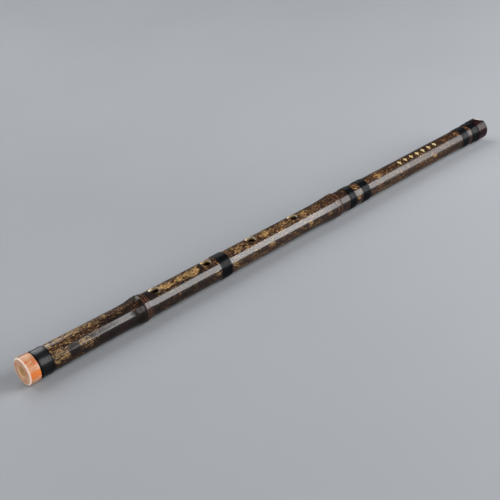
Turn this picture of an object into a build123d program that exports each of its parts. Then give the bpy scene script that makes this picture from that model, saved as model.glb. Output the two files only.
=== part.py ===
from build123d import *
import math
import os

# A two-section, end-blown bamboo flute lying along +X.
# X = 0 is the face of the foot, X = FLUTE_LENGTH is the mouth, and Z = 0 is the bore's axis.
# The finger holes face +Z. All lengths are in millimetres and all angles in degrees.

# ---- Driving dimensions -------------------------------------------------------------------
FLUTE_LENGTH = 545.0            # the standard "one foot eight" length
BAMBOO_RADIUS = 10.4            # outside of the cane halfway along
LOWER_BORE_RADIUS = 7.2
UPPER_BORE_RADIUS = 7.8
JOINT_X = 358.7                 # plane where the two sections meet
JOINT_GAP = 0.16                # hairline between their end faces
GLUE_GAP = 0.03                 # bond line between pieces that are glued or bound together
RUNNING_GAP = 0.05              # radial clearance of the joint sleeve, so it turns and pulls out

# Foot ferrule: a polished ring with a spigot glued in the bore
FERRULE_LENGTH = 9.8
FERRULE_RADIUS = 11.55
FERRULE_SPIGOT = 6.0
FOOT_HOLE_RADIUS = 4.8
RIM_ROUNDING = 1.2
FERRULE_INNER_LIP = 0.6
FERRULE_BACK_LIP = 0.35

# Finger holes, as fractions of the length from the foot
HOLE_RADIUS = 4.5
FRONT_HOLES = [0.2328, 0.3328, 0.4248, 0.5168]
THUMB_HOLE = 0.556

# Bamboo nodes: where the first ridge is, how long each ridge is, and the heights over
# BAMBOO_RADIUS between the ridges and at their crests
LOWER_NODE_X = 111.4
NODE_BEAD = 2.0
NODE_ENDS = [1.45, 1.05, 0.75, 0.40]
NODE_CRESTS = [1.62, 1.32, 1.00]
UPPER_NODE_X = 329.0
UPPER_NODE_BEAD = 4.1
UPPER_NODE_ENDS = [0.88, 0.75, -0.05]
UPPER_NODE_CRESTS = [1.05, 1.00]

# Height of the skin over BAMBOO_RADIUS at the joint, under the ornaments and at the mouth
JOINT_RISE = -0.40
ORNAMENT_RISE = -0.68
MOUTH_RISE = -0.55

# Thread bindings: start, end and outside radius
THREAD_PITCH = 0.74
THREAD_DEPTH = 0.80
THREAD_ROUNDNESS = 0.28         # depth between two turns as a share of the pitch
BINDINGS = {
    "foot_binding": (FERRULE_LENGTH, 22.4, 11.25),
    "middle_binding": (190.2, 200.9, 10.95),
    "lower_joint_binding": (345.7, 353.8, 10.60),
    "upper_joint_binding": (363.0, 372.2, 10.50),
    "mouth_lower_binding": (508.0, 517.1, 10.30),
    "mouth_upper_binding": (522.8, 531.5, 10.55),
}
EDGE_CORD_TURN = 3              # the thicker turn of the foot binding, counted from each end
EDGE_CORD_RISE = 0.22

# Joint: a loose brass sleeve that enters a brass liner in the end of each section
SLEEVE_WALL = 0.75
LINER_WALL = 0.60
JOINT_DEPTH = 24.0              # how far the sleeve enters each section
SLEEVE_END_GAP = 0.2

# Mouth: a dark ring over the cane's end, an oblique cut and the inlay that makes its edge
MOUTH_RING_X = 531.5
MOUTH_RING_RADIUS = 10.9
MOUTH_SEAT_RADIUS = 9.3
MOUTH_ROUNDING = 1.3
MOUTH_BACK_LIP = 0.4
BEVEL_ANGLE = 21.0              # between the oblique cut and the flute's axis
EDGE_RADIUS = 8.5               # distance of the blowing edge from the axis
INLAY_RADIUS = 5.0

# Gold ornaments: a row of small four-petal flowers
ORNAMENT_COUNT = 7
ORNAMENT_FIRST_X = 420.7
ORNAMENT_LAST_X = 471.5
ORNAMENT_TURN = -16.0           # measured from +Z, negative towards -Y
ORNAMENT_DEPTH = 0.3
PETAL_ALONG = 2.2               # length of the petals that point along the flute
PETAL_ACROSS = 2.9
PETAL_WIDTH = 1.1

BIG = 60.0                      # larger than any section of the flute


# ---- Small helpers ------------------------------------------------------------------------
def rod(x0, x1, radius):
    """A solid cylinder along X from x0 to x1."""
    length = x1 - x0
    upright = Cylinder(radius, length, align=(Align.CENTER, Align.CENTER, Align.MIN))
    return Pos(x0, 0, 0) * Rot(0, 90, 0) * upright


def pipe(x0, x1, inner, outer):
    """A hollow cylinder along X."""
    return rod(x0, x1, outer) - rod(x0, x1, inner)


def turned(edges):
    """Revolve a closed outline drawn in X and radius about the flute's axis."""
    face = make_face(Wire(edges).edges())
    return revolve(face, Axis.X, 360)


def round_corner(corner_x, corner_r, toward_x, toward_r, radius):
    """A quarter circle inside a corner; toward_x and toward_r (+1 or -1) point to its centre."""
    x, r = corner_x + toward_x * radius, corner_r + toward_r * radius
    reach = radius * math.sqrt(0.5)
    middle = (x - toward_x * reach, r - toward_r * reach)
    return (corner_x, r), middle, (x, corner_r)


def bead(x0, r0, crest, x1, r1):
    """One rounded ridge of an outline, from (x0, r0) over its crest to (x1, r1)."""
    return ThreePointArc((x0, r0), ((x0 + x1) / 2, crest), (x1, r1))


def closed_below(top, inner):
    """Close an outline's top edges with two end walls and a straight inner wall."""
    start = top[0] @ 0
    end = top[-1] @ 1
    right = Line((end.X, end.Y), (end.X, inner))
    bottom = Line((end.X, inner), (start.X, inner))
    left = Line((start.X, inner), (start.X, start.Y))
    return top + [right, bottom, left]


def one_solid(shape):
    """The largest solid of a result, so that a node holds exactly one piece."""
    return max(shape.solids(), key=lambda solid: solid.volume)


# ---- Bamboo cane --------------------------------------------------------------------------
def skin(points):
    """A smooth stretch of the cane's outside through (x, rise over BAMBOO_RADIUS) points."""
    return Spline(*[(x, BAMBOO_RADIUS + rise) for x, rise in points])


def ridges(start, length, ends, crests):
    """Rounded ridges of equal length, one after another, given as rises over BAMBOO_RADIUS."""
    result = []
    for index, crest in enumerate(crests):
        left = start + index * length
        before, after = ends[index], ends[index + 1]
        result.append(
            bead(left, BAMBOO_RADIUS + before, BAMBOO_RADIUS + crest, left + length, BAMBOO_RADIUS + after)
        )
    return result


def lower_cane():
    """The lower section's outside: two nodes, each a swelling with ridges behind it."""
    start = FERRULE_LENGTH + GLUE_GAP
    end = JOINT_X - JOINT_GAP / 2
    node = LOWER_NODE_X - NODE_BEAD / 2
    after_node = node + NODE_BEAD * len(NODE_CRESTS)
    upper_node = UPPER_NODE_X - UPPER_NODE_BEAD / 2
    after_upper = upper_node + UPPER_NODE_BEAD * len(UPPER_NODE_CRESTS)
    top = [
        skin([(start, 0.40), (57.0, 0.25), (82.0, 0.15), (99.0, 0.75), (node, NODE_ENDS[0])]),
        *ridges(node, NODE_BEAD, NODE_ENDS, NODE_CRESTS),
        skin(
            [
                (after_node, NODE_ENDS[-1]),
                (136.0, 0.10),
                (216.0, -0.03),
                (300.0, -0.20),
                (316.0, 0.20),
                (upper_node, UPPER_NODE_ENDS[0]),
            ]
        ),
        *ridges(upper_node, UPPER_NODE_BEAD, UPPER_NODE_ENDS, UPPER_NODE_CRESTS),
        skin([(after_upper, UPPER_NODE_ENDS[-1]), (343.0, -0.25), (end, JOINT_RISE)]),
    ]
    return turned(closed_below(top, LOWER_BORE_RADIUS))


def upper_cane():
    """The upper section's outside, stepped down at the mouth to carry the mouth ring."""
    start = JOINT_X + JOINT_GAP / 2
    end = (MOUTH_RING_X, MOUTH_RISE)
    outside = skin([(start, JOINT_RISE), (400.0, -0.60), (460.0, ORNAMENT_RISE), end])
    step = Line((MOUTH_RING_X, BAMBOO_RADIUS + MOUTH_RISE), (MOUTH_RING_X, MOUTH_SEAT_RADIUS))
    seat = Line((MOUTH_RING_X, MOUTH_SEAT_RADIUS), (FLUTE_LENGTH, MOUTH_SEAT_RADIUS))
    return turned(closed_below([outside, step, seat], UPPER_BORE_RADIUS))


def binding_groove(name):
    """The shallow groove that a binding lies in."""
    x0, x1, outer = BINDINGS[name]
    return pipe(x0 - GLUE_GAP, x1 + GLUE_GAP, outer - THREAD_DEPTH, BIG / 2)


def finger_hole(fraction, side):
    """A hole through one wall of the lower section, at the front (+1) or the back (-1)."""
    upright = Cylinder(HOLE_RADIUS, BIG / 2, align=(Align.CENTER, Align.CENTER, Align.MIN))
    if side < 0:
        upright = Rot(180, 0, 0) * upright
    return Pos(fraction * FLUTE_LENGTH, 0, 0) * upright


def joint_recess(x0, x1):
    """The counterbore that a joint liner is glued into."""
    return rod(x0, x1, LINER_OUTER + GLUE_GAP)


def lower_section():
    cane = lower_cane()
    for name in ("foot_binding", "middle_binding", "lower_joint_binding"):
        cane -= binding_groove(name)
    for fraction in FRONT_HOLES:
        cane -= finger_hole(fraction, 1)
    cane -= finger_hole(THUMB_HOLE, -1)
    cane -= joint_recess(JOINT_X - JOINT_DEPTH, JOINT_X + BIG)
    return one_solid(cane)


def upper_section():
    cane = upper_cane()
    for name in ("upper_joint_binding", "mouth_lower_binding", "mouth_upper_binding"):
        cane -= binding_groove(name)
    cane -= joint_recess(JOINT_X - BIG, JOINT_X + JOINT_DEPTH)
    cane -= inlay_pocket()
    cane -= oblique_cut()
    for x in ornament_places():
        cane -= flower_prism(x) - rod(0, FLUTE_LENGTH, ornament_floor())
    return one_solid(cane)


# ---- Foot ferrule -------------------------------------------------------------------------
def foot_ferrule():
    """A ring with a rounded rim at the foot and a spigot inside the cane."""
    spigot_end = FERRULE_LENGTH + FERRULE_SPIGOT
    spigot_radius = LOWER_BORE_RADIUS - GLUE_GAP
    lip = round_corner(0, FOOT_HOLE_RADIUS, 1, 1, FERRULE_INNER_LIP)
    rim = round_corner(0, FERRULE_RADIUS, 1, -1, RIM_ROUNDING)
    back = round_corner(FERRULE_LENGTH, FERRULE_RADIUS, -1, -1, FERRULE_BACK_LIP)
    outline = [
        ThreePointArc(*reversed(lip)),
        Line(lip[0], rim[0]),
        ThreePointArc(*rim),
        Line(rim[2], back[2]),
        ThreePointArc(*reversed(back)),
        Line(back[0], (FERRULE_LENGTH, spigot_radius)),
        Line((FERRULE_LENGTH, spigot_radius), (spigot_end, spigot_radius)),
        Line((spigot_end, spigot_radius), (spigot_end, FOOT_HOLE_RADIUS)),
        Line((spigot_end, FOOT_HOLE_RADIUS), lip[2]),
    ]
    return one_solid(turned(outline))


# ---- Thread bindings ----------------------------------------------------------------------
def binding(name):
    """A layer of thread wound side by side: one rounded ridge for each turn."""
    x0, x1, outer = BINDINGS[name]
    x0 = x0 + GLUE_GAP
    turns = round((x1 - x0) / THREAD_PITCH)
    pitch = (x1 - x0) / turns
    valley = outer - pitch * THREAD_ROUNDNESS
    ridges = []
    for turn in range(turns):
        crest = outer
        if name == "foot_binding" and turn in (EDGE_CORD_TURN, turns - 1 - EDGE_CORD_TURN):
            crest = outer + EDGE_CORD_RISE
        left = x0 + turn * pitch
        ridges.append(bead(left, valley, crest, left + pitch, valley))
    return one_solid(turned(closed_below(ridges, outer - THREAD_DEPTH + GLUE_GAP)))


# ---- Joint --------------------------------------------------------------------------------
SLEEVE_OUTER = LOWER_BORE_RADIUS + SLEEVE_WALL
LINER_INNER = SLEEVE_OUTER + RUNNING_GAP
LINER_OUTER = LINER_INNER + LINER_WALL


def joint_sleeve():
    start = JOINT_X - JOINT_DEPTH + SLEEVE_END_GAP
    end = JOINT_X + JOINT_DEPTH - SLEEVE_END_GAP
    return one_solid(pipe(start, end, LOWER_BORE_RADIUS, SLEEVE_OUTER))


def lower_joint_liner():
    start = JOINT_X - JOINT_DEPTH + GLUE_GAP
    return one_solid(pipe(start, JOINT_X - JOINT_GAP / 2, LINER_INNER, LINER_OUTER))


def upper_joint_liner():
    end = JOINT_X + JOINT_DEPTH - GLUE_GAP
    return one_solid(pipe(JOINT_X + JOINT_GAP / 2, end, LINER_INNER, LINER_OUTER))


# ---- Mouth --------------------------------------------------------------------------------
def oblique_cut():
    """Everything above the oblique plane that leads down to the blowing edge."""
    block = Box(BIG, BIG, BIG, align=(Align.CENTER, Align.CENTER, Align.MIN))
    return Pos(FLUTE_LENGTH, 0, EDGE_RADIUS) * Rot(0, BEVEL_ANGLE, 0) * block


def inlay_pocket():
    """The half-round seat of the inlay, cut through the wall at the mouth."""
    upright = Cylinder(INLAY_RADIUS, BIG / 2, align=(Align.CENTER, Align.CENTER, Align.MIN))
    return Pos(FLUTE_LENGTH, 0, 0) * upright


def mouth_wall(inner):
    """The mouth ring's outside with a straight bore of the given radius."""
    start = MOUTH_RING_X + GLUE_GAP
    back = round_corner(start, MOUTH_RING_RADIUS, 1, -1, MOUTH_BACK_LIP)
    rim = round_corner(FLUTE_LENGTH, MOUTH_RING_RADIUS, -1, -1, MOUTH_ROUNDING)
    top = [ThreePointArc(*back), Line(back[2], rim[2]), ThreePointArc(*reversed(rim))]
    return turned(closed_below(top, inner))


def mouth_ring():
    ring = mouth_wall(MOUTH_SEAT_RADIUS + GLUE_GAP)
    ring -= inlay_pocket()
    ring -= oblique_cut()
    return one_solid(ring)


def blowing_edge_inlay():
    wall = mouth_wall(UPPER_BORE_RADIUS)
    inlay = wall & inlay_pocket()
    inlay -= oblique_cut()
    return one_solid(inlay)


# ---- Gold ornaments -----------------------------------------------------------------------
def ornament_floor():
    """Radius of the floor of the ornaments' shallow pockets."""
    return BAMBOO_RADIUS + ORNAMENT_RISE - ORNAMENT_DEPTH


def ornament_places():
    """Centres of the ornaments along the flute."""
    pitch = (ORNAMENT_LAST_X - ORNAMENT_FIRST_X) / (ORNAMENT_COUNT - 1)
    return [ORNAMENT_FIRST_X + pitch * index for index in range(ORNAMENT_COUNT)]


def petal_pair(length, turn):
    """Two opposite petals: a pointed oval bounded by two arcs."""
    side = ThreePointArc((-length, 0), (0, PETAL_WIDTH), (length, 0))
    other = ThreePointArc((length, 0), (0, -PETAL_WIDTH), (-length, 0))
    return Rot(0, 0, turn) * make_face([side, other])


def flower_prism(x):
    """A four-petal flower carried straight out through the wall."""
    flower = petal_pair(PETAL_ALONG, 0) + petal_pair(PETAL_ACROSS, 90)
    upright = extrude(flower, BIG / 2, dir=(0, 0, 1))
    return Rot(-ORNAMENT_TURN, 0, 0) * Pos(x, 0, 0) * upright


def gold_ornaments():
    """The flowers let flush into the skin of the cane, one solid each."""
    x0 = ORNAMENT_FIRST_X - BIG / 4
    x1 = ORNAMENT_LAST_X + BIG / 4
    skin = upper_cane() & pipe(x0, x1, ornament_floor(), BIG / 2)
    return Compound([one_solid(skin & flower_prism(x)) for x in ornament_places()])


# ---- Write one file for each piece --------------------------------------------------------
def main():
    os.makedirs("parts", exist_ok=True)
    pieces = {
        "lower_section": lower_section(),
        "foot_ferrule": foot_ferrule(),
        "lower_joint_liner": lower_joint_liner(),
        "joint_sleeve": joint_sleeve(),
        "upper_joint_liner": upper_joint_liner(),
        "upper_section": upper_section(),
        "mouth_ring": mouth_ring(),
        "blowing_edge_inlay": blowing_edge_inlay(),
        "gold_ornaments": gold_ornaments(),
    }
    for name in BINDINGS:
        pieces[name] = binding(name)
    for name, piece in pieces.items():
        export_step(piece, f"parts/{name}.step")


main()
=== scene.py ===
import math

import bmesh
import bpy
import numpy as np
from mathutils import Matrix, Vector


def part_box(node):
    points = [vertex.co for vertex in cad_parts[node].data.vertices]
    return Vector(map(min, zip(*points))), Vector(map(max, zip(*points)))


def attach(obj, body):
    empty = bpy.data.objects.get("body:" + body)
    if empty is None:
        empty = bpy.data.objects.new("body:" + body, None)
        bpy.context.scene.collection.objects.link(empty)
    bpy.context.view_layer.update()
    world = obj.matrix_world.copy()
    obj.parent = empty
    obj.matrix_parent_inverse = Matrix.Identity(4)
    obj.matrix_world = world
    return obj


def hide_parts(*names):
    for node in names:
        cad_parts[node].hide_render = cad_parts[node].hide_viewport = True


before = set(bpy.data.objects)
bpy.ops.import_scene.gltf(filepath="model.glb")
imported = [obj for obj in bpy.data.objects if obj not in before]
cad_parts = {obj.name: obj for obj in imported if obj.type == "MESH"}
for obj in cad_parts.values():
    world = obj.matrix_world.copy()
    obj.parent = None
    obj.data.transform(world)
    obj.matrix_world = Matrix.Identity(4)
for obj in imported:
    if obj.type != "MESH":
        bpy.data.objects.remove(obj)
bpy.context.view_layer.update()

# The flute lies along +X. Sizes below are millimetres; meshes are built in them and scaled.
MM = 0.001
FLUTE_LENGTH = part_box("mouth_ring")[1].x / MM
JOINT_X = (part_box("lower_section")[1].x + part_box("upper_section")[0].x) / 2 / MM
FLOOR_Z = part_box("lower_section")[0].z

HOLE_RADIUS = 4.5
HOLE_RIM = 0.55
FRONT_HOLES = [fraction * FLUTE_LENGTH for fraction in (0.2328, 0.3328, 0.4248, 0.5168)]
THUMB_HOLE = 0.556 * FLUTE_LENGTH
LOWER_BORE_RADIUS = 7.2
UPPER_BORE_RADIUS = 7.8
JOINT_BORE_RADIUS = 8.63
JOINT_DEPTH = 24.0
FERRULE_HOLE_RADIUS = 4.8
LOWER_NODE_X = 111.4
UPPER_NODE_X = 329.0
MOUTH_RING_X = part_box("mouth_ring")[0].x / MM
MOUTH_SEAT_RADIUS = 9.3
TYPICAL_RADIUS = 10.3    # of the cane's outside, for anything that depends on its direction
BEVEL_ANGLE = 21.0
EDGE_RADIUS = 8.5
INLAY_RADIUS = 5.0
THREAD_DEPTH = 0.80
BINDINGS = [
    "foot_binding",
    "middle_binding",
    "lower_joint_binding",
    "upper_joint_binding",
    "mouth_lower_binding",
    "mouth_upper_binding",
]

AROUND = 96          # facets round the cane
CELL = 0.68          # length of its facets


# ---- Shape of the cane --------------------------------------------------------------------
def natural_spline(stations):
    """A smooth curve through (x, value) stations, as a function of x."""
    x, y = (np.array(column, float) for column in zip(*stations))
    gap = np.diff(x)
    size = len(x)
    rows = np.eye(size)
    right = np.zeros(size)
    for i in range(1, size - 1):
        rows[i, i - 1 : i + 2] = gap[i - 1], 2 * (gap[i - 1] + gap[i]), gap[i]
        right[i] = 6 * ((y[i + 1] - y[i]) / gap[i] - (y[i] - y[i - 1]) / gap[i - 1])
    bend = np.linalg.solve(rows, right)

    def curve(at):
        at = np.asarray(at, float)
        i = np.clip(np.searchsorted(x, at) - 1, 0, size - 2)
        left, width = at - x[i], gap[i]
        rest = width - left
        return (
            (bend[i] * rest**3 + bend[i + 1] * left**3) / (6 * width)
            + (y[i] / width - bend[i] * width / 6) * rest
            + (y[i + 1] / width - bend[i + 1] * width / 6) * left
        )

    return curve


CANE = natural_spline(
    [
        (0, 10.85),
        (57, 10.65),
        (84, 10.50),
        (140, 10.47),
        (216, 10.37),
        (300, 10.18),
        (345, 10.10),
        (359, 10.00),
        (400, 9.80),
        (460, 9.72),
        (545, 9.85),
    ]
)


def hump(x, centre, before, after, height):
    """A rounded swelling that rises over one length and falls over another."""
    width = np.where(x < centre, before, after)
    return height * np.exp(-(((x - centre) / width) ** 2))


def ridge(x, centre, width, height):
    """A narrow raised line round the cane."""
    return height * np.exp(-(((x - centre) / width) ** 2))


def cane_radius(x, turn):
    """Outside radius of the cane at x, in the direction turn (radians from +Z towards +Y)."""
    wander = 0.35 * np.sin(turn + 0.6) + 0.15 * np.sin(2 * turn)
    low = x + wander
    high = x - 0.8 * wander
    radius = CANE(x)
    radius = radius + hump(low, LOWER_NODE_X - 0.4, 7.6, 4.2, 1.26)
    radius = radius + hump(high, UPPER_NODE_X + 3.2, 14.5, 2.4, 1.12)
    for place, height in ((-0.4, 0.16), (1.0, -0.22), (2.2, 0.22), (3.3, -0.14), (4.4, 0.20)):
        radius = radius + ridge(low, LOWER_NODE_X + place, 0.55, height)
    for place, height in ((-0.4, 0.16), (3.9, 0.18)):
        radius = radius + ridge(high, UPPER_NODE_X + place, 0.6, height)
    radius = radius - ridge(high, UPPER_NODE_X + 6.6, 0.5, 0.30)
    oval = 0.035 * np.sin(x / 31.0) * np.cos(2 * turn + x / 90.0)
    ripple = 0.03 * np.sin(x / 9.0 + 1.3 * np.sin(turn))
    return radius + oval + ripple


def binding_span(name):
    """Start, end and outside radius of a binding, from its CAD ring."""
    low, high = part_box(name)
    return low.x / MM, high.x / MM, high.z / MM


def grooved_radius(x, turn):
    """The cane's outside with the shallow grooves that the bindings lie in."""
    radius = cane_radius(x, turn)
    for name in BINDINGS:
        start, end, outer = binding_span(name)
        inside = (x > start - 0.01) & (x < end + 0.01)
        radius = np.where(inside, outer - THREAD_DEPTH - 0.02, radius)
    return np.where(x > MOUTH_RING_X - 0.01, MOUTH_SEAT_RADIUS, radius)


# ---- Mesh helpers -------------------------------------------------------------------------
def new_object(name, vertices, faces, smooth=True):
    mesh = bpy.data.meshes.new(name)
    mesh.from_pydata([tuple(v) for v in np.asarray(vertices) * MM], [], faces)
    mesh.validate()
    item = bpy.data.objects.new(name, mesh)
    bpy.context.scene.collection.objects.link(item)
    if smooth:
        mesh.polygons.foreach_set("use_smooth", [True] * len(mesh.polygons))
    return item


def tidy_mesh(item, sharp_degrees=38.0, merge=0.00001):
    """Merge coincident vertices, face outwards and keep real edges sharp."""
    work = bmesh.new()
    work.from_mesh(item.data)
    bmesh.ops.remove_doubles(work, verts=work.verts, dist=merge)
    bmesh.ops.recalc_face_normals(work, faces=work.faces)
    limit = math.radians(sharp_degrees)
    for edge in work.edges:
        if len(edge.link_faces) == 2:
            edge.smooth = edge.calc_face_angle(0.0) < limit
    work.to_mesh(item.data)
    work.free()


def apply_modifiers(item):
    depsgraph = bpy.context.evaluated_depsgraph_get()
    mesh = bpy.data.meshes.new_from_object(item.evaluated_get(depsgraph))
    item.modifiers.clear()
    item.data = mesh


def cut_with(item, cutter, operation="DIFFERENCE"):
    step = item.modifiers.new("cut", "BOOLEAN")
    step.operation = operation
    step.solver = "EXACT"
    step.object = cutter
    apply_modifiers(item)
    bpy.data.objects.remove(cutter)


def soften_edges(item, width, degrees=40.0, segments=2):
    """Round the hard edges by a small width, as handling and polishing do."""
    step = item.modifiers.new("soften", "BEVEL")
    step.width = width * MM
    step.segments = segments
    step.limit_method = "ANGLE"
    step.angle_limit = math.radians(degrees)
    step.harden_normals = False
    apply_modifiers(item)


def lathe(name, outline, around=AROUND):
    """Revolve a closed outline of (x, radius) points about the flute's axis."""
    turns = np.arange(around) * 2 * math.pi / around
    points = np.array(outline, float)
    vertices = []
    for x, radius in points:
        for turn in turns:
            vertices.append((x, radius * math.sin(turn), radius * math.cos(turn)))
    faces = []
    rows = len(points)
    for i in range(rows):
        j = (i + 1) % rows
        for k in range(around):
            m = (k + 1) % around
            faces.append((i * around + k, j * around + k, j * around + m, i * around + m))
    return new_object(name, vertices, faces)


def arc(centre_x, centre_r, radius, start, end, steps=7):
    """Points of a circular arc in an outline; angles in degrees from +X."""
    angles = np.radians(np.linspace(start, end, steps))
    return [(centre_x + radius * math.cos(a), centre_r + radius * math.sin(a)) for a in angles]


# ---- Cane with finger holes ---------------------------------------------------------------
HALF_COLUMNS = 14    # half the size of the grid patch that a hole replaces
HALF_ROWS = 10
SKIN, CUT, BORE = 0, 1, 2    # kinds of surface, in the order of the cane's materials


def stations_between(start, end, holes, steps):
    """Places along the cane: an even grid round each hole, and even steps elsewhere."""
    places = [start]
    stops = []
    for x in sorted(holes):
        stops.append((x - HALF_ROWS * CELL, x + HALF_ROWS * CELL))
    for low, high in steps:
        stops.append((low, high))
    stops.sort()
    for low, high in stops + [(end, end)]:
        count = max(1, round((low - places[-1]) / CELL))
        places.extend(np.linspace(places[-1], low, count + 1)[1:])
        if high > low:
            count = 2 * HALF_ROWS if high - low > 1 else 1
            places.extend(np.linspace(low, high, count + 1)[1:])
    return np.array(places)


def patch_border(row, column):
    """Grid places (row, column) round a hole's patch, in order."""
    r0, r1 = row - HALF_ROWS, row + HALF_ROWS
    c0, c1 = column - HALF_COLUMNS, column + HALF_COLUMNS
    border = [(r1, c) for c in range(c0, c1)]
    border += [(r, c1) for r in range(r1, r0, -1)]
    border += [(r0, c) for c in range(c1, c0, -1)]
    border += [(r, c0) for r in range(r0, r1)]
    return border


def grid_vertex(row, column):
    """Index of a grid point on the cane's skin; its twin in the bore comes one grid later."""
    return row * AROUND + column % AROUND


def wall_faces(rows, open_cells):
    """Faces of the cane's outside, inside and ends, without the cells that the holes replace."""
    size = rows * AROUND
    faces, kinds = [], []
    for first, kind in ((0, SKIN), (size, BORE)):
        for r in range(rows - 1):
            for c in range(AROUND):
                if (r, c) in open_cells:
                    continue
                corners = ((r, c), (r + 1, c), (r + 1, c + 1), (r, c + 1))
                faces.append([first + grid_vertex(*corner) for corner in corners])
                kinds.append(kind)
    for r in (0, rows - 1):
        for c in range(AROUND):
            a, b = grid_vertex(r, c), grid_vertex(r, c + 1)
            faces.append((a, b, size + b, size + a))
            kinds.append(CUT)
    return faces, kinds


def skin_height(x, y, side):
    """Distance of the cane's skin above or below the axis plane at (x, y)."""
    turn = np.arcsin(np.clip(y / cane_radius(x, 0 * x), -1, 1))
    radius = cane_radius(x, turn if side > 0 else math.pi - turn)
    return np.sqrt(np.maximum(radius**2 - y**2, 0.01))


def hole_rings(x, side, outer, inner, bore):
    """Rings of points that lead from the border on the skin through a hole to the bore.

    Each ring comes with the kind of surface that leads to it.
    """
    angle = np.arctan2(outer[:, 1] * side, outer[:, 0] - x)
    circle_x, circle_y = np.cos(angle), np.sin(angle)
    rings = []

    def add(px, py, height, kind):
        rings.append((np.stack([px, py * side, height * side], -1), kind))

    reach = HOLE_RADIUS + HOLE_RIM
    for share in np.linspace(1, 0, 7)[1:]:
        px = (x + reach * circle_x) * (1 - share) + outer[:, 0] * share
        py = reach * circle_y * (1 - share) + outer[:, 1] * side * share
        add(px, py, skin_height(px, py, side), SKIN)
    for tilt in np.radians(np.linspace(90, 0, 7)[1:]):
        reach = HOLE_RADIUS + HOLE_RIM - HOLE_RIM * math.cos(tilt)
        sink = HOLE_RIM - HOLE_RIM * math.sin(tilt)
        px, py = x + reach * circle_x, reach * circle_y
        add(px, py, skin_height(px, py, side) - sink, SKIN if tilt > 0.3 else CUT)
    px, py = x + HOLE_RADIUS * circle_x, HOLE_RADIUS * circle_y
    top = skin_height(px, py, side) - HOLE_RIM
    bottom = np.sqrt(bore(px) ** 2 - py**2)
    for share in (0.3, 0.65, 1.0):
        add(px, py, top * (1 - share) + bottom * share, CUT)
    for share in np.linspace(0, 1, 5)[1:-1]:
        qx = px * (1 - share) + inner[:, 0] * share
        qy = py * (1 - share) + inner[:, 1] * side * share
        add(qx, qy, np.sqrt(bore(qx) ** 2 - qy**2), BORE)
    return rings


def open_hole(x, side, border, size, bore, vertices, faces, kinds):
    """Add one finger hole inside its border of grid vertices."""
    outer = np.array([vertices[v] for v in border])
    inner = np.array([vertices[size + v] for v in border])
    count = len(border)
    loops = [border]
    marks = []
    for ring, kind in hole_rings(x, side, outer, inner, bore):
        first = len(vertices)
        vertices.extend(tuple(v) for v in ring)
        loops.append(list(range(first, first + count)))
        marks.append(kind)
    loops.append([size + v for v in border])
    marks.append(BORE)
    for level, kind in enumerate(marks):
        upper, lower = loops[level], loops[level + 1]
        for k in range(count):
            m = (k + 1) % count
            faces.append((upper[k], upper[m], lower[m], lower[k]))
            kinds.append(kind)


def cane_section(name, start, end, bore, holes, steps=()):
    """A length of cane. bore gives the inside radius at x; holes is a list of (x, side)."""
    xs = stations_between(start, end, [x for x, side in holes], steps)
    turns = np.arange(AROUND) * 2 * math.pi / AROUND
    grid_x, grid_t = np.meshgrid(xs, turns, indexing="ij")
    vertices = []
    for radius in (grooved_radius(grid_x, grid_t), bore(grid_x)):
        skin = np.stack([grid_x, radius * np.sin(grid_t), radius * np.cos(grid_t)], -1)
        vertices.extend(tuple(v) for v in skin.reshape(-1, 3))
    open_cells = set()
    centres = []
    for x, side in holes:
        row = int(np.argmin(abs(xs - x)))
        column = 0 if side > 0 else AROUND // 2
        centres.append((x, side, row, column))
        for r in range(row - HALF_ROWS, row + HALF_ROWS):
            for c in range(column - HALF_COLUMNS, column + HALF_COLUMNS):
                open_cells.add((r, c % AROUND))
    faces, kinds = wall_faces(len(xs), open_cells)
    for x, side, row, column in centres:
        border = [grid_vertex(r, c) for r, c in patch_border(row, column)]
        open_hole(x, side, border, len(xs) * AROUND, bore, vertices, faces, kinds)
    item = new_object(name, vertices, faces)
    item.data.polygons.foreach_set("material_index", kinds)
    tidy_mesh(item, 50.0)
    return item


def lower_bore(x):
    joint = x > JOINT_X - JOINT_DEPTH
    return np.where(joint, JOINT_BORE_RADIUS, LOWER_BORE_RADIUS) + 0 * x


def upper_bore(x):
    joint = x < JOINT_X + JOINT_DEPTH
    return np.where(joint, JOINT_BORE_RADIUS, UPPER_BORE_RADIUS) + 0 * x


# ---- Thread bindings ----------------------------------------------------------------------
THREAD_PITCH = 0.74
THREAD_SIDES = 10
BAND_TURNS = 4       # turns in each band of the mouth's upper binding
EDGE_CORD_TURN = 3   # the thicker turn of the foot binding, counted from each end


def thread_rise(name, place, turns):
    """How far the thread stands above or below its nominal height at a place in turns."""
    lap = np.clip(np.round(place), 0, turns - 1)
    from_end = np.minimum(lap, turns - 1 - lap)
    if name == "foot_binding":
        return np.where(from_end == EDGE_CORD_TURN, 0.20, np.where(from_end < 2, -0.28, 0.0))
    if name == "mouth_upper_binding":
        band_end = np.mod(place, BAND_TURNS)
        return -0.20 * np.exp(-((np.minimum(band_end, BAND_TURNS - band_end) / 0.45) ** 2))
    return 0.0 * place


def thread_crown(name, place, turns):
    """Height of a turn's rounding as a share of its half width: lacquer fills the foot's."""
    if name != "foot_binding":
        return 0.98 + 0.0 * place
    lap = np.round(place)
    cord = (lap == EDGE_CORD_TURN) | (lap == turns - 1 - EDGE_CORD_TURN)
    return np.where(cord, 0.85, 0.28)


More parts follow.
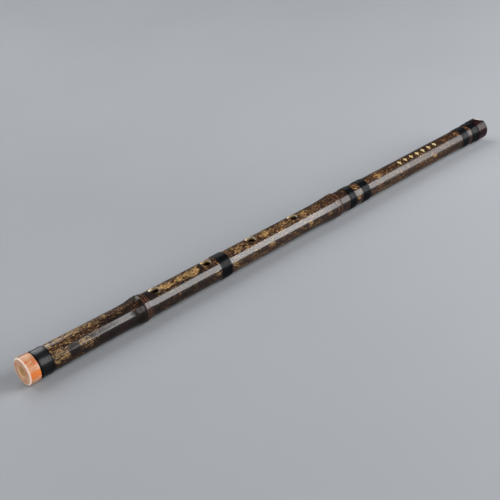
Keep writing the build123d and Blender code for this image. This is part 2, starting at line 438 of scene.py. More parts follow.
def binding(name, seed):
    """Thread wound as one tight helix, with a closed turn at each end."""
    start, end, outer = binding_span(name)
    if name == "foot_binding":
        outer -= 0.22
    turns = round((end - start) / THREAD_PITCH)
    pitch = (end - start) / turns
    half = pitch / 2
    count = (turns + 1) * AROUND
    lap = np.linspace(0, turns + 1, count)
    place = np.clip(lap - 1, 0, turns - 1)
    turn = lap * 2 * math.pi
    rng = np.random.default_rng(seed)
    drift = sum(
        rng.uniform(0.4, 1.0) * np.sin(lap * rng.uniform(1.3, 9.0) + rng.uniform(0, 6))
        for wave in range(6)
    )
    centre_x = start + half + place * pitch + 0.018 * drift * (place > 0) * (place < turns - 1)
    inner = (lap < 0.98) | (lap > turns + 0.02)
    crown = half * thread_crown(name, place, turns)
    centre_r = outer - crown - 0.03 + 0.012 * drift + thread_rise(name, place, turns)
    centre_r = centre_r - 0.03 * inner
    sides = np.arange(THREAD_SIDES) * 2 * math.pi / THREAD_SIDES
    thick = half * 1.26
    x = centre_x[:, None] + thick * np.cos(sides)[None, :]
    x = np.clip(x, start + 0.005, end - 0.005)
    height = np.where(np.sin(sides)[None, :] > 0, crown[:, None], half)
    radius = centre_r[:, None] + height * np.sin(sides)[None, :]
    radius = np.minimum(radius, outer + 0.20)
    angle = turn[:, None] + 0 * x
    points = np.stack([x, radius * np.sin(angle), radius * np.cos(angle)], -1)
    vertices = points.reshape(-1, 3)
    faces = []
    for i in range(count - 1):
        for k in range(THREAD_SIDES):
            m = (k + 1) % THREAD_SIDES
            a, b = i * THREAD_SIDES, (i + 1) * THREAD_SIDES
            faces.append((a + k, b + k, b + m, a + m))
    last = (count - 1) * THREAD_SIDES
    faces.append(tuple(range(THREAD_SIDES)))
    faces.append(tuple(last + k for k in reversed(range(THREAD_SIDES))))
    item = new_object(name + "_thread", vertices, faces)
    tidy_mesh(item, 80.0, merge=0.0000001)
    return item


# ---- Foot ferrule and mouth ---------------------------------------------------------------
def foot_ferrule():
    """The turned ring at the foot, with the spigot that is glued into the cane."""
    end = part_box("foot_ferrule")[1]
    outer = end.z / MM - 0.01
    spigot_end = end.x / MM
    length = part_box("foot_binding")[0].x / MM - 0.03
    rim, inner_lip, back_lip = 1.2, 0.6, 0.35
    hole = FERRULE_HOLE_RADIUS
    spigot = LOWER_BORE_RADIUS - 0.03
    outline = arc(inner_lip, hole + inner_lip, inner_lip, 270, 180)
    outline += [(0.0, 7.0), (0.0, 8.8)]
    outline += arc(rim, outer - rim, rim, 180, 90, 9)
    outline += [(x, outer) for x in (3.0, 5.0, 7.0)]
    outline += arc(length - back_lip, outer - back_lip, back_lip, 90, 0, 5)
    outline += [(length, spigot), (spigot_end, spigot), (spigot_end, hole), (8.0, hole), (4.0, hole)]
    item = lathe("foot_ferrule_ring", outline)
    tidy_mesh(item, 50.0)
    return item


def box_mesh(name, low, high):
    xs, ys, zs = zip(low, high)
    corners = [(x, y, z) for x in xs for y in ys for z in zs]
    faces = [(0, 1, 3, 2), (4, 6, 7, 5), (0, 4, 5, 1), (2, 3, 7, 6), (0, 2, 6, 4), (1, 5, 7, 3)]
    item = new_object(name, corners, faces, smooth=False)
    return item


def oblique_cutter():
    """Everything above the plane that slopes down to the blowing edge."""
    item = box_mesh("cutter", (-45, -30, 0), (45, 30, 40))
    tilt = Matrix.Rotation(math.radians(BEVEL_ANGLE), 4, "Y")
    item.data.transform(Matrix.Translation(Vector((FLUTE_LENGTH, 0, EDGE_RADIUS)) * MM) @ tilt)
    return item


def pocket_cutter(radius=INLAY_RADIUS):
    """An upright rod at the mouth: the inlay's seat."""
    steps = 64
    turns = np.arange(steps) * 2 * math.pi / steps
    ring = [(FLUTE_LENGTH + radius * math.cos(a), radius * math.sin(a)) for a in turns]
    vertices = [(x, y, 0) for x, y in ring] + [(x, y, 25) for x, y in ring]
    faces = [(k, (k + 1) % steps, steps + (k + 1) % steps, steps + k) for k in range(steps)]
    faces += [tuple(reversed(range(steps))), tuple(range(steps, 2 * steps))]
    item = new_object("cutter", vertices, faces, smooth=False)
    tidy_mesh(item, 30.0)
    return item


def mouth_wall(name, inner, start=MOUTH_RING_X):
    """The turned wall at the mouth, before the oblique cut."""
    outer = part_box("mouth_ring")[1].y / MM
    rim, back = 1.3, 0.4
    outline = arc(start + back, outer - back, back, 180, 90, 5)
    outline += [(x, outer) for x in np.linspace(start + 2, FLUTE_LENGTH - 3, 5)]
    outline += arc(FLUTE_LENGTH - rim, outer - rim, rim, 90, 0, 8)
    outline += [(FLUTE_LENGTH, inner), (start, inner)]
    item = lathe(name, outline, 128)
    tidy_mesh(item, 50.0)
    return item


def mouth_ring():
    """The hardwood ring at the mouth, cut obliquely and let out for the inlay."""
    item = mouth_wall("mouth_ring_wood", MOUTH_SEAT_RADIUS + 0.03)
    cut_with(item, pocket_cutter())
    cut_with(item, oblique_cutter())
    soften_edges(item, 0.22)
    tidy_mesh(item, 50.0)
    return item


def blowing_edge_inlay():
    """The pale inlay that fills the ring's pocket and carries the blowing edge."""
    item = mouth_wall("blowing_edge", UPPER_BORE_RADIUS, MOUTH_RING_X + 3)
    cut_with(item, pocket_cutter(INLAY_RADIUS - 0.03), "INTERSECT")
    cut_with(item, oblique_cutter())
    soften_edges(item, 0.12)
    tidy_mesh(item, 50.0)
    return item


# ---- Gold ornaments -----------------------------------------------------------------------
ORNAMENT_COUNT = 7
ORNAMENT_FIRST_X = 420.7
ORNAMENT_LAST_X = 471.5
ORNAMENT_TURN = math.radians(-16.0)
ORNAMENT_CANE_RADIUS = 9.75
PETALS = ((2.2, 1.1, 0.0), (2.9, 1.1, 90.0))     # half length, half width, direction


def petal_reach(direction):
    """How far the four-petal flower reaches from its centre in a direction."""
    reach = 0 * direction
    for length, width, turn in PETALS:
        side = abs(np.sin(direction - math.radians(turn)))
        circle = (length**2 + width**2) / (2 * width)
        drop = circle - width
        far = -side * drop + np.sqrt((side * drop) ** 2 + circle**2 - drop**2)
        reach = np.maximum(reach, far)
    return reach


def gold_ornaments():
    """Seven small flowers of gold, pressed into the skin and standing just above it."""
    vertices, faces = [], []
    directions = np.arange(72) * 2 * math.pi / 72
    shares = [0.0, 0.25, 0.5, 0.72, 0.88, 1.0, 1.0]
    lifts = [0.03, 0.055, 0.075, 0.08, 0.06, 0.0, -0.15]
    rng = np.random.default_rng(11)
    pitch = (ORNAMENT_LAST_X - ORNAMENT_FIRST_X) / (ORNAMENT_COUNT - 1)
    for index in range(ORNAMENT_COUNT):
        x = ORNAMENT_FIRST_X + pitch * index
        edge = petal_reach(directions) * (1 + 0.03 * rng.standard_normal(len(directions)))
        first = len(vertices)
        for share, lift in zip(shares, lifts):
            px = x + edge * share * np.cos(directions)
            turn = ORNAMENT_TURN + edge * share * np.sin(directions) / ORNAMENT_CANE_RADIUS
            radius = cane_radius(px, turn) + lift
            ring = np.stack([px, radius * np.sin(turn), radius * np.cos(turn)], -1)
            vertices.extend(tuple(v) for v in ring)
        count = len(directions)
        for level in range(len(shares) - 1):
            for k in range(count):
                m = (k + 1) % count
                a, b = first + level * count, first + (level + 1) * count
                faces.append((a + k, b + k, b + m, a + m))
        faces.append(tuple(first + (len(shares) - 1) * count + k for k in reversed(range(count))))
    item = new_object("gold_flowers", vertices, faces)
    tidy_mesh(item, 50.0)
    return item


# ---- Materials ----------------------------------------------------------------------------
def srgb(red, green, blue):
    """A colour given as 0-255 display values, turned into linear light."""
    out = []
    for value in (red, green, blue):
        value /= 255
        out.append(value / 12.92 if value <= 0.04045 else ((value + 0.055) / 1.055) ** 2.4)
    return (*out, 1.0)


class Paint:
    """A material with short helpers to add and join its nodes."""

    def __init__(self, name):
        self.material = bpy.data.materials.new(name)
        self.material.use_nodes = True
        self.nodes = self.material.node_tree.nodes
        self.links = self.material.node_tree.links
        self.shader = self.nodes["Principled BSDF"]
        self.place = self.nodes.new("ShaderNodeTexCoord").outputs["Object"]

    def put(self, socket, value):
        if isinstance(value, bpy.types.NodeSocket):
            self.links.new(value, socket)
        else:
            socket.default_value = value

    def math(self, operation, first, second=0.0, third=0.0, clamp=False):
        node = self.nodes.new("ShaderNodeMath")
        node.operation = operation
        node.use_clamp = clamp
        for socket, value in zip(node.inputs, (first, second, third)):
            self.put(socket, value)
        return node.outputs[0]

    def scaled(self, stretch):
        """Object coordinates in metres multiplied by a vector of cells per metre."""
        node = self.nodes.new("ShaderNodeVectorMath")
        node.operation = "MULTIPLY"
        self.put(node.inputs[0], self.place)
        node.inputs[1].default_value = stretch
        return node.outputs[0]

    def shifted(self, place, offset):
        node = self.nodes.new("ShaderNodeVectorMath")
        node.operation = "ADD"
        self.put(node.inputs[0], place)
        self.put(node.inputs[1], offset)
        return node.outputs[0]

    def noise(self, stretch, detail=3.0, rough=0.55, distort=0.0, shift=0.0):
        """Smooth noise whose features measure 1/stretch metres along each axis."""
        node = self.nodes.new("ShaderNodeTexNoise")
        place = self.scaled(stretch)
        if shift:
            place = self.shifted(place, (shift, shift, shift))
        self.put(node.inputs["Vector"], place)
        node.inputs["Scale"].default_value = 1.0
        node.inputs["Detail"].default_value = detail
        node.inputs["Roughness"].default_value = rough
        node.inputs["Distortion"].default_value = distort
        return node.outputs["Fac"]

    def step(self, value, low, high, to_low=0.0, to_high=1.0):
        node = self.nodes.new("ShaderNodeMapRange")
        node.interpolation_type = "SMOOTHSTEP"
        self.put(node.inputs["Value"], value)
        names = ("From Min", "From Max", "To Min", "To Max")
        for name, number in zip(names, (low, high, to_low, to_high)):
            self.put(node.inputs[name], number)
        return node.outputs["Result"]

    def mix(self, share, first, second):
        node = self.nodes.new("ShaderNodeMix")
        node.data_type = "RGBA"
        self.put(node.inputs["Factor"], share)
        sockets = [s for s in node.inputs if s.type == "RGBA"]
        self.put(sockets[0], first)
        self.put(sockets[1], second)
        return next(s for s in node.outputs if s.type == "RGBA")

    def axes(self):
        node = self.nodes.new("ShaderNodeSeparateXYZ")
        self.put(node.inputs[0], self.place)
        return node.outputs

    def from_axis(self):
        """Distance from the flute's axis in metres."""
        axes = self.axes()
        square = self.math("MULTIPLY", axes["Y"], axes["Y"])
        return self.math("SQRT", self.math("MULTIPLY_ADD", axes["Z"], axes["Z"], square))

    def bump(self, height, strength, depth, below=None):
        node = self.nodes.new("ShaderNodeBump")
        self.put(node.inputs["Strength"], strength)
        node.inputs["Distance"].default_value = depth
        self.put(node.inputs["Height"], height)
        if below is not None:
            self.put(node.inputs["Normal"], below)
        return node.outputs["Normal"]

    def set(self, **values):
        for name, value in values.items():
            self.put(self.shader.inputs[name.replace("_", " ")], value)


def facing(paint, axes, degrees):
    """From -1 to 1: how far a point of the cane faces the given turn from +Z towards +Y."""
    angle = math.radians(degrees)
    up = paint.math("MULTIPLY", axes["Z"], math.cos(angle) / (TYPICAL_RADIUS * MM))
    side = paint.math("MULTIPLY", axes["Y"], math.sin(angle) / (TYPICAL_RADIUS * MM))
    return paint.math("ADD", up, side)


def polish_below(paint, axes, left):
    """Share of the polish that is left under the flute, where it is hardly rubbed."""
    return paint.step(facing(paint, axes, -115.0), 0.74, 0.86, 1.0, left)


# How thickly the gold flecks lie, as (x in mm, amount): 0 is half covered, -0.2 is almost bare.
TOP_FLECKS = [
    (22, 0.03), (60, 0.01), (90, -0.05), (104, -0.10), (116, -0.16), (126, -0.04), (175, -0.04),
    (215, -0.03), (290, -0.03), (318, -0.06), (345, -0.09), (372, -0.07), (412, -0.06), (430, -0.09),
    (470, -0.10), (490, -0.08), (520, -0.10),
]
LOW_FLECKS = [
    (22, -0.10), (62, -0.10), (72, -0.18), (116, -0.18), (130, -0.10), (190, -0.10), (210, -0.05),
    (300, -0.07), (345, -0.13), (375, -0.07), (470, -0.07), (530, -0.11),
]
# How strong the clear coat is, as (x in mm, amount over 0.7).
POLISH = [
    (22, 0.12), (99, 0.12), (103, -0.26), (107, -0.26), (110, 0.12), (188, 0.12), (210, 0.28),
    (300, 0.29), (316, 0.20), (330, -0.07), (341, -0.16), (358, -0.02), (395, -0.01), (445, -0.18),
    (492, -0.20), (520, -0.29),
]
# Crests of the ridges at the cane's two nodes, where the stain has worn thin: x in mm, share.
RIDGES = [
    (LOWER_NODE_X - 0.4, 0.5), (LOWER_NODE_X + 2.2, 0.42), (LOWER_NODE_X + 4.4, 0.28),
    (UPPER_NODE_X - 0.4, 0.6), (UPPER_NODE_X + 3.9, 0.6),
]
# Places that are hardly polished: x in mm, turn in degrees, half length, half width in mm, amount.
DULL_PATCHES = [
    (LOWER_NODE_X - 9.0, 8, 7.0, 7.0, 0.62),
    (34, 6, 16.0, 6.0, 0.22),
]
# Larger light and dark patches: x in mm, turn in degrees, half length, half width in mm, amount.
PATCHES = [
    (42, -34, 20.0, 3.4, -0.06),
    (86, -32, 20.0, 3.0, -0.06),
    (30, -78, 8.5, 6.0, 0.12),
    (186, -84, 3.0, 2.4, 0.12),
    (205, -82, 3.0, 2.2, 0.10),
    (248, -82, 4.0, 2.4, 0.08),
    (283, -82, 2.2, 2.0, 0.09),
    (294, -84, 3.4, 2.6, 0.13),
    (318, -82, 3.0, 2.2, 0.13),
    (358, -82, 4.0, 2.6, 0.16),
    (41, -82, 4.0, 5.0, -0.16),
    (53, -76, 7.0, 4.5, 0.11),
    (63, -66, 3.0, 3.0, 0.08),
    (105, -16, 2.4, 2.8, 0.06),
    (121, -20, 3.5, 4.0, -0.14),
    (137, -15, 9.0, 3.4, 0.09),
    (150, -18, 4.0, 2.6, 0.10),
    (164, -16, 7.5, 4.6, 0.11),
    (174, -14, 2.6, 3.4, -0.14),
    (212, -18, 6.0, 3.4, 0.05),
    (228, -24, 3.0, 2.5, -0.08),
    (246, -20, 6.0, 3.4, 0.05),
    (268, -22, 6.0, 3.0, 0.05),
    (292, -16, 4.0, 3.4, 0.05),
    (358, -18, 4.0, 3.4, 0.12),
    (388, -22, 5.0, 3.4, 0.08),
    (465, -82, 2.6, 1.8, 0.24),
    (383, -26, 13.0, 4.0, 0.05),
    (484, -24, 4.0, 2.8, 0.05),
    (503, -28, 3.4, 3.0, 0.10),
    (520, -32, 2.6, 3.4, 0.09),
]


def along_curve(paint, along, stations):
    """Amounts from -0.3 to 0.3 that change smoothly along the flute."""
    points = [(x / FLUTE_LENGTH, 0.5 + amount / 0.6) for x, amount in stations]
    node = paint.nodes.new("ShaderNodeFloatCurve")
    curve = node.mapping.curves[0]
    curve.points[0].location = (0.0, points[0][1])
    curve.points[-1].location = (1.0, points[-1][1])
    for x, level in points:
        curve.points.new(x, level)
    node.mapping.update()
    paint.put(node.inputs["Value"], along)
    return paint.math("MULTIPLY_ADD", node.outputs[0], 0.6, -0.3)


def patch(paint, axes, x, turn, length, width, amount):
    """One soft-edged oval patch on the cane's surface."""
    angle = math.radians(turn)
    lengthwise = paint.math("MULTIPLY_ADD", axes["X"], 1 / (length * MM), -x / length)
    over = paint.math("MULTIPLY", axes["Z"], -math.sin(angle) / (width * MM))
    across = paint.math("MULTIPLY_ADD", axes["Y"], math.cos(angle) / (width * MM), over)
    square = paint.math("MULTIPLY_ADD", across, across, paint.math("MULTIPLY", lengthwise, lengthwise))
    near = paint.step(square, 0.2, 1.6, amount, 0.0)
    front = paint.step(facing(paint, axes, turn), 0.0, 0.3)
    return paint.math("MULTIPLY", near, front)


def fleck_level(paint, axes, along, fleck, speck):
    """How much gold lies at a point: noise, raised or lowered by the tables above."""
    blotch = paint.noise((95.0, 190.0, 190.0), 2.0, 0.5)
    upper = along_curve(paint, along, TOP_FLECKS)
    lower = along_curve(paint, along, LOW_FLECKS)
    top_side = paint.step(facing(paint, axes, 15.0), 0.20, 0.75)
    amount = paint.math("MULTIPLY_ADD", top_side, paint.math("SUBTRACT", upper, lower), lower)
    for values in PATCHES:
        amount = paint.math("ADD", amount, patch(paint, axes, *values))
    level = paint.math("ADD", fleck, amount)
    level = paint.math("MULTIPLY_ADD", blotch, 0.27, level)
    return paint.math("MULTIPLY_ADD", speck, 0.41, level)


def bamboo_colour(paint, axes, along, fleck, speck, streak):
    """Dark stain, brown and gold flecks, worn ridges and painted shade on the underside."""
    level = fleck_level(paint, axes, along, fleck, speck)
    gold_share = paint.step(level, 0.862, 0.942)
    brown_share = paint.step(level, 0.75, 0.88)
    tint = paint.noise((260.0, 420.0, 420.0), 3.0, 0.6, shift=12.0)
    ground = paint.noise((90.0, 170.0, 170.0), 4.0, 0.65, shift=3.0)
    red = paint.step(along, 0.15, 0.75)
    dark = paint.mix(paint.step(ground, 0.35, 0.65), srgb(12, 8, 6), srgb(36, 21, 15))
    dark = paint.mix(paint.math("MULTIPLY", red, 0.5), dark, srgb(42, 27, 17))
    brown = paint.mix(red, srgb(76, 48, 30), srgb(80, 49, 30))
    gold = paint.mix(red, srgb(190, 156, 100), srgb(176, 138, 86))
    gold = paint.mix(paint.step(tint, 0.50, 0.68, 0.0, 0.50), gold, srgb(166, 118, 92))
    gold = paint.mix(paint.step(speck, 0.35, 0.60, 0.45, 0.0), gold, brown)
    colour = paint.mix(brown_share, dark, brown)
    colour = paint.mix(gold_share, colour, gold)
    colour = paint.mix(paint.step(streak, 0.50, 0.66, 0.0, 0.62), colour, srgb(24, 15, 10))
    for place, share in RIDGES:
        far = paint.math("ABSOLUTE", paint.math("SUBTRACT", axes["X"], place * MM))
        worn = paint.math("MULTIPLY", paint.step(far, 0.0001, 0.0008, share, 0.0), tint)
        colour = paint.mix(worn, colour, srgb(164, 104, 74))
    # Painted shade: the colour is darkened towards near black on the side that faces down.
    under = paint.step(facing(paint, axes, -95.0), 0.45, 1.0, 0.0, 0.45)
    return paint.mix(under, colour, srgb(18, 12, 9))


def lacquered_bamboo():
    """Dark stained bamboo with gold and tan flecks, fine grain and a clear gloss coat."""
    paint = Paint("lacquered_bamboo")
    axes = paint.axes()
    along = paint.math("DIVIDE", axes["X"], FLUTE_LENGTH * MM)
    fleck = paint.noise((330.0, 1150.0, 1150.0), 4.0, 0.76, 0.4)
    speck = paint.noise((620.0, 1700.0, 1700.0), 3.0, 0.70, shift=9.0)
    streak = paint.noise((120.0, 1250.0, 1250.0), 4.0, 0.66, shift=7.0)
    waves = paint.noise((120.0, 260.0, 260.0), 2.0, 0.5, shift=5.0)
    paint.set(Base_Color=bamboo_colour(paint, axes, along, fleck, speck, streak))
    paint.set(Roughness=paint.step(fleck, 0.3, 0.7, 0.40, 0.55))
    paint.set(Specular_IOR_Level=0.06, Coat_Roughness=0.09, Coat_IOR=1.43)
    polish = paint.math("ADD", along_curve(paint, along, POLISH), 0.7)
    for values in DULL_PATCHES:
        polish = paint.math("SUBTRACT", polish, patch(paint, axes, *values), clamp=True)
    paint.set(Coat_Weight=paint.math("MULTIPLY", polish, polish_below(paint, axes, 0.45)))
    grain = paint.bump(streak, 0.25, 0.00006)
    paint.set(Normal=paint.bump(waves, 0.18, 0.0004, grain))
    pits = paint.bump(speck, paint.step(along, 0.64, 0.72, 0.14, 0.60), 0.00012)
    paint.set(Coat_Normal=paint.bump(waves, 0.12, 0.0004, pits))
    return paint.material


def cut_bamboo():
    """Pale end grain where the cane was cut: finger holes and section ends, with painted shade towards
    the bore.
    """
    paint = Paint("cut_bamboo")
    fibres = paint.noise((500.0, 2600.0, 2600.0), 3.0, 0.6)
    patches = paint.noise((260.0, 420.0, 420.0), 2.0, 0.5, shift=2.0)
    pale = paint.mix(paint.step(patches, 0.35, 0.7), srgb(232, 216, 184), srgb(196, 168, 126))
    pale = paint.mix(paint.step(fibres, 0.5, 0.75, 0.0, 0.6), pale, srgb(98, 66, 40))
    # Painted shade: the cut surfaces darken towards the bore, so the finger holes grow dark with depth.
    painted_bore_shade = paint.step(paint.from_axis(), 0.0074, 0.0089, 0.95, 0.0)
    paint.set(Base_Color=paint.mix(painted_bore_shade, pale, srgb(20, 12, 8)))
    paint.set(Roughness=paint.step(fibres, 0.3, 0.7, 0.42, 0.6))
    paint.set(Normal=paint.bump(fibres, 0.4, 0.0001))
    return paint.material


def bore_bamboo():
    """The varnished inside of the bore."""
    paint = Paint("bore_bamboo")
    fibres = paint.noise((60.0, 1500.0, 1500.0), 3.0, 0.6)
    paint.set(Base_Color=paint.mix(fibres, srgb(112, 74, 42), srgb(66, 40, 24)))
    paint.set(Roughness=paint.step(fibres, 0.3, 0.7, 0.3, 0.45))
    paint.set(Normal=paint.bump(fibres, 0.3, 0.0001))
    return paint.material


def black_thread(name, gloss, blur, density, sealed=False):
    """Black waxed thread with fine fibres under a sealing coat of some gloss, blur and IOR."""
    paint = Paint(name)
    fibres = paint.noise((2600.0, 2600.0, 2600.0), 3.0, 0.6)
    wear = paint.noise((240.0, 240.0, 240.0), 2.0, 0.5, shift=4.0)
    colour = paint.mix(paint.step(fibres, 0.35, 0.7), srgb(3, 3, 4), srgb(8, 8, 10))
    paint.set(Base_Color=paint.mix(paint.step(wear, 0.5, 0.75, 0.0, 0.5), colour, srgb(13, 13, 16)))
    paint.set(Roughness=paint.step(fibres, 0.3, 0.7, 0.36, 0.52))
    axes = paint.axes()
    shine = paint.math("MULTIPLY", polish_below(paint, axes, 0.25), gloss)
    if sealed:
        start, end, outer = binding_span("foot_binding")
        from_middle = paint.math("SUBTRACT", axes["X"], (start + end) / 2 * MM)
        from_middle = paint.math("ABSOLUTE", from_middle)
        sealed_part = paint.step(from_middle, 0.0046, 0.0050, 1.0, 0.10)
        shine = paint.math("MULTIPLY", shine, sealed_part)
        handled = paint.step(facing(paint, axes, -58.0), 0.98, 1.06, 1.0, 0.40)
        shine = paint.math("MULTIPLY", shine, handled)
    paint.set(Specular_IOR_Level=0.06, Coat_Weight=shine, Coat_Roughness=blur, Coat_IOR=density)
    paint.set(Coat_Tint=srgb(214, 232, 248))
    paint.set(Normal=paint.bump(fibres, 0.35, 0.00008))
    return paint.material


def salmon_resin():
    """Translucent salmon and amber resin, streaked along the flute like agate, with a painted highlight
    on the end's rim and painted light inside its hole.
    """
    paint = Paint("salmon_resin")
    axes = paint.axes()
    wisps = paint.noise((70.0, 420.0, 420.0), 4.0, 0.6, 0.8)
    clouds = paint.noise((120.0, 190.0, 190.0), 2.0, 0.5, 0.3, shift=6.0)
    low = paint.step(facing(paint, axes, -92.0), 1.05, 1.11)
    body = paint.mix(paint.step(clouds, 0.35, 0.65), srgb(176, 119, 84), srgb(190, 142, 106))
    body = paint.mix(paint.step(wisps, 0.52, 0.72), body, srgb(186, 102, 54))
    body = paint.mix(paint.step(wisps, 0.28, 0.42, 0.55, 0.0), body, srgb(240, 206, 178))
    body = paint.mix(paint.math("MULTIPLY", low, 0.75), body, srgb(206, 104, 24))
    from_axis = paint.from_axis()
    outside = paint.step(from_axis, 0.0098, 0.0108, 0.12, 1.0)
    # Painted highlight: the rounded rim of the foot's end is painted near white.
    rim = paint.math("MULTIPLY", paint.step(axes["X"], 0.0004, 0.0015, 0.8, 0.0), outside)
    body = paint.mix(rim, body, srgb(255, 236, 220))
    # Painted light: the inside of the ferrule's hole is painted pale and warm, as light shining through
    # the resin.
    hole_edge = (FERRULE_HOLE_RADIUS + 0.1) * MM
    painted_hole_glow = paint.step(from_axis, hole_edge, hole_edge + 0.4 * MM, 0.85, 0.0)
    body = paint.mix(painted_hole_glow, body, srgb(255, 226, 176))
    paint.set(Base_Color=body, Subsurface_Weight=0.5, Subsurface_Scale=0.003)
    paint.set(Subsurface_Radius=(1.0, 0.45, 0.25))
    paint.set(Roughness=paint.step(clouds, 0.3, 0.7, 0.16, 0.26))
    paint.set(Coat_Weight=0.09, Coat_Roughness=0.08, Specular_IOR_Level=0.2)
    paint.set(Normal=paint.bump(clouds, 0.08, 0.0003))
    return paint.material


def mouth_wood():
    """Very dark red-brown hardwood with a hand polish."""
    paint = Paint("mouth_wood")
    pores = paint.noise((300.0, 2200.0, 2200.0), 3.0, 0.6)
    figure = paint.noise((90.0, 380.0, 380.0), 3.0, 0.55, 0.6, shift=8.0)
    colour = paint.mix(paint.step(figure, 0.35, 0.7), srgb(15, 9, 10), srgb(42, 17, 17))
    paint.set(Base_Color=paint.mix(paint.step(pores, 0.55, 0.75, 0.0, 0.6), colour, srgb(10, 7, 7)))
    paint.set(Roughness=paint.step(pores, 0.3, 0.7, 0.26, 0.40))
    shine = paint.math("MULTIPLY", polish_below(paint, paint.axes(), 0.25), 0.23)
    paint.set(Specular_IOR_Level=0.05, Coat_Weight=shine, Coat_Roughness=0.16, Coat_IOR=1.36)
    paint.set(Normal=paint.bump(pores, 0.2, 0.00006))
    return paint.material


def bone_inlay():
    """Bone-coloured resin, faintly clouded."""
    paint = Paint("bone_inlay")
    clouds = paint.noise((400.0, 700.0, 700.0), 3.0, 0.55)
    paint.set(Base_Color=paint.mix(clouds, srgb(236, 230, 214), srgb(206, 192, 166)))
    paint.set(Roughness=paint.step(clouds, 0.3, 0.7, 0.22, 0.34))
    paint.set(Coat_Weight=0.4, Coat_Roughness=0.1, Subsurface_Weight=0.1, Subsurface_Scale=0.001)
    paint.set(Normal=paint.bump(clouds, 0.1, 0.0001))
    return paint.material


def gold_leaf():
    """Gold leaf pressed into shallow cuts, worn in places."""
    paint = Paint("gold_leaf")
    wear = paint.noise((900.0, 900.0, 900.0), 3.0, 0.65)
    crinkle = paint.noise((2400.0, 2400.0, 2400.0), 3.0, 0.6, shift=5.0)
    paint.set(Base_Color=paint.mix(paint.step(wear, 0.5, 0.7), srgb(230, 208, 152), srgb(176, 134, 76)))
    paint.set(Metallic=paint.step(wear, 0.5, 0.7, 0.55, 0.25))
    paint.set(Roughness=paint.step(crinkle, 0.3, 0.7, 0.34, 0.52))
    paint.set(Normal=paint.bump(crinkle, 0.4, 0.00008))
    return paint.material


def drawn_brass():
    """Plain drawn brass tube with fine lines along it and a little tarnish."""
    paint = Paint("drawn_brass")
    lines = paint.noise((60.0, 4200.0, 4200.0), 3.0, 0.6)
    tarnish = paint.noise((160.0, 260.0, 260.0), 3.0, 0.55, shift=3.0)
    tarnished = paint.step(tarnish, 0.4, 0.7)
    paint.set(Base_Color=paint.mix(tarnished, srgb(214, 178, 104), srgb(158, 120, 66)))
    paint.set(Metallic=paint.step(tarnish, 0.4, 0.9, 1.0, 0.9))
    paint.set(Roughness=paint.step(lines, 0.3, 0.7, 0.24, 0.38))
    paint.set(Normal=paint.bump(lines, 0.2, 0.00005))
    return paint.material


def studio_floor():
    """Pale matt studio cloth."""
    paint = Paint("studio_floor")
    weave = paint.noise((900.0, 900.0, 900.0), 2.0, 0.5)
    broad = paint.noise((3.0, 3.0, 3.0), 2.0, 0.5, shift=2.0)
    paint.set(Base_Color=paint.mix(broad, srgb(150, 153, 158), srgb(162, 165, 170)))
    paint.set(Roughness=paint.step(weave, 0.3, 0.7, 0.8, 0.9))
    paint.set(Normal=paint.bump(weave, 0.1, 0.0003))
    return paint.material


# ---- Build the pieces ---------------------------------------------------------------------
def groove_steps(names, start, end):
    """Close pairs of stations, so that the cane steps sharply into each binding's groove."""
    steps = []
    for name in names:
        low, high, outer = binding_span(name)
        if low - 0.1 > start:
            steps.append((low - 0.03, low - 0.005))
        if high + 0.1 < end:
            steps.append((high + 0.005, high + 0.03))
    return steps


def lower_cane():
    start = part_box("lower_section")[0].x / MM
    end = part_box("lower_section")[1].x / MM
    steps = groove_steps(BINDINGS[:3], start, end)
    steps.append((JOINT_X - JOINT_DEPTH - 0.02, JOINT_X - JOINT_DEPTH + 0.01))
    holes = [(x, 1) for x in FRONT_HOLES] + [(THUMB_HOLE, -1)]
    item = cane_section("lower_cane", start, end, lower_bore, holes, steps)
    return item


def upper_cane():
    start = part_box("upper_section")[0].x / MM
    steps = groove_steps(BINDINGS[3:], start, FLUTE_LENGTH)
    steps.append((JOINT_X + JOINT_DEPTH - 0.01, JOINT_X + JOINT_DEPTH + 0.02))
    item = cane_section("upper_cane", start, FLUTE_LENGTH, upper_bore, [], steps)
    cut_with(item, pocket_cutter())
    cut_with(item, oblique_cutter())
    tidy_mesh(item, 50.0)
    return item


def dress(item, body, node, slot, *materials):
    """Give a piece its materials and its body, and hide the CAD node it stands for; slot is not used.
    """
    for material in materials:
        item.data.materials.append(material)
    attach(item, body)
    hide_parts(node)


bamboo, cut_end, bore_skin = lacquered_bamboo(), cut_bamboo(), bore_bamboo()
thread = black_thread("black_thread", 0.42, 0.16, 1.38)
sealed_thread = black_thread("sealed_thread", 1.0, 0.27, 1.62, sealed=True)
brass = drawn_brass()
dress(lower_cane(), "lower", "lower_section", "bamboo", bamboo, cut_end, bore_skin)
dress(upper_cane(), "upper", "upper_section", "bamboo", bamboo, cut_end, bore_skin)
dress(foot_ferrule(), "lower", "foot_ferrule", "ferrule", salmon_resin())
dress(mouth_ring(), "upper", "mouth_ring", "mouth_wood", mouth_wood())
dress(blowing_edge_inlay(), "upper", "blowing_edge_inlay", "inlay", bone_inlay())
dress(gold_ornaments(), "upper", "gold_ornaments", "gold", gold_leaf())
for order, node in enumerate(BINDINGS):
    finish = sealed_thread if node == "foot_binding" else thread
    dress(binding(node, order + 1), "lower" if order < 3 else "upper", node, "thread", finish)
for node in ("joint_sleeve", "lower_joint_liner", "upper_joint_liner"):
    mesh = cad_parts[node].data
    mesh.materials.clear()
    mesh.materials.append(brass)


# ---- Floor, light and camera --------------------------------------------------------------
KEY_RADIANCE = 9.3
BACK_RADIANCE = 2.1
END_RADIANCE = 4.5
FILL_RADIANCE = 0.10

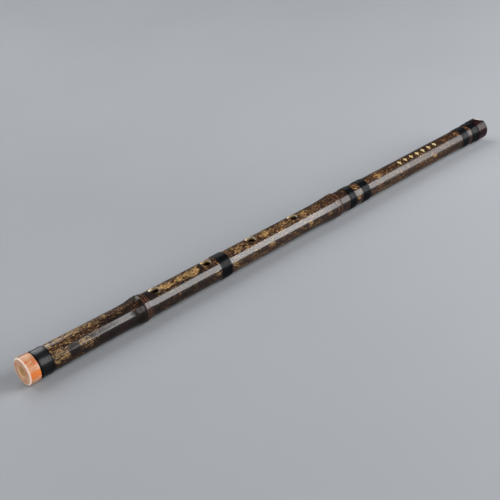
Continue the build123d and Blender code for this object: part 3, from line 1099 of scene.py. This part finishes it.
FLOOR_HALF = 6.0
floor_signs = ((-1, -1), (1, -1), (1, 1), (-1, 1))
floor_corners = [(x * FLOOR_HALF / MM, y * FLOOR_HALF / MM, FLOOR_Z / MM) for x, y in floor_signs]
floor = new_object("floor", floor_corners, [(0, 1, 2, 3)], smooth=False)
floor.data.materials.append(studio_floor())

# The finger holes are rolled a little away from the camera, so the camera and the lights are
# set out for a level flute and then turned about the flute's axis together.
ROLL = Matrix.Rotation(math.radians(11.0), 4, "X")


def softbox(name, place, across, up, width, height, radiance):
    """A soft rectangular light; across and up are the directions of its sides."""
    data = bpy.data.lights.new(name, "AREA")
    data.shape = "RECTANGLE"
    data.size, data.size_y = width, height
    data.energy = radiance * width * height * math.pi
    light = bpy.data.objects.new(name, data)
    bpy.context.scene.collection.objects.link(light)
    across, up = Vector(across).normalized(), Vector(up).normalized()
    turn = Matrix((across, up, across.cross(up))).transposed().to_4x4()
    light.matrix_world = ROLL @ Matrix.Translation(Vector(place)) @ turn
    return light


# Each long light is a row of panels: left and right edge, and share of the light's radiance.
# The key light stands beyond the mouth and gives the long bright strip on the cane. Its last
# panel stands apart, where only the slope before the lower node mirrors it.
KEY_CENTRE = Vector((1.2267, -0.9460, 0.7344))
KEY_ACROSS = Vector((0.7915, 0.4777, -0.3813))
KEY_UP = Vector((0.0067, 0.6170, 0.7870))
KEY_MIDDLE = -0.27
KEY_HEIGHT = 1.75
KEY_PANELS = ((-0.52, 0.90, 1.0), (-0.60, -0.52, 0.25), (-0.98, -0.79, 0.5))
for left, right, share in KEY_PANELS:
    place = KEY_CENTRE + (left + right) / 2 * KEY_ACROSS + KEY_MIDDLE * KEY_UP
    radiance = KEY_RADIANCE * share
    softbox("key_softbox", place, KEY_ACROSS, KEY_UP, right - left, KEY_HEIGHT, radiance)

# The back light fills the side away from the camera.
BACK_ACROSS = (-1.0, 0.0, 0.0)
BACK_UP = (0.0, -0.57, 0.82)
BACK_HEIGHT = 1.6
BACK_PANELS = ((-0.95, 0.45, 1.0), (0.45, 0.75, 2.4))
for left, right, share in BACK_PANELS:
    place = ((left + right) / 2, 1.35, 0.95)
    radiance = BACK_RADIANCE * share
    softbox("back_softbox", place, BACK_ACROSS, BACK_UP, right - left, BACK_HEIGHT, radiance)

# The end light is a low strip before the foot, for the ferrule's face.
END_PLACE = (-0.50, -0.12, 0.11)
END_ACROSS = (0.0, -1.0, 0.0)
END_UP = (0.10, 0.0, 0.99)
softbox("end_softbox", END_PLACE, END_ACROSS, END_UP, 0.55, 0.22, END_RADIANCE)

world = bpy.data.worlds.new("studio")
world.use_nodes = True
world.node_tree.nodes["Background"].inputs["Color"].default_value = (0.92, 0.96, 1.0, 1.0)
world.node_tree.nodes["Background"].inputs["Strength"].default_value = FILL_RADIANCE
bpy.context.scene.world = world

camera_data = bpy.data.cameras.new("camera")
camera_data.lens = 80.05
camera_data.sensor_width = 36.0
camera_data.clip_start, camera_data.clip_end = 0.02, 50.0
camera = bpy.data.objects.new("camera", camera_data)
bpy.context.scene.collection.objects.link(camera)
camera_place = Vector((-0.2944, -0.5690, 0.5526))
look = Vector((0.230, 0.0, 0.0)) - camera_place
level = Matrix.Translation(camera_place) @ look.to_track_quat("-Z", "Y").to_matrix().to_4x4()
camera.matrix_world = ROLL @ level
bpy.context.scene.camera = camera
bpy.context.scene.view_settings.view_transform = "Standard"
